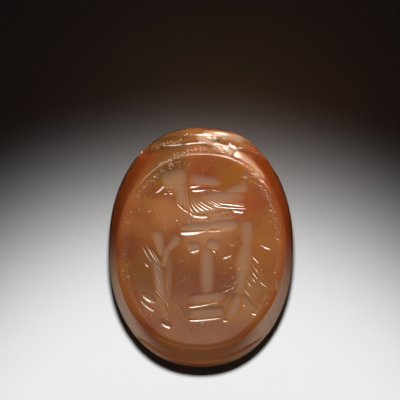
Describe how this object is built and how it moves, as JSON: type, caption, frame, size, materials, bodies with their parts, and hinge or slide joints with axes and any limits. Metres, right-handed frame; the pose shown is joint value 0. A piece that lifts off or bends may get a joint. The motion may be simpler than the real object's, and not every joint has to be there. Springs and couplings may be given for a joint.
{
  "type": "intaglio gem",
  "caption": "Pierced stamp seal of red-brown chalcedony with an oval engraved face and a rounded hoop-like back, lying face up.",
  "frame": {"origin": "centre of the small flat spot on the back that the stone rests on", "axes": "+Z out of the engraved face, +Y up the picture, +X to the right of the picture and along the string hole"},
  "size_m": [0.0152, 0.02, 0.016],
  "materials": {
    "stone": "waxy polish with finely ground cuts"
  },
  "bodies": {
    "root": {"seal": "stone"}
  },
  "joints": []
}
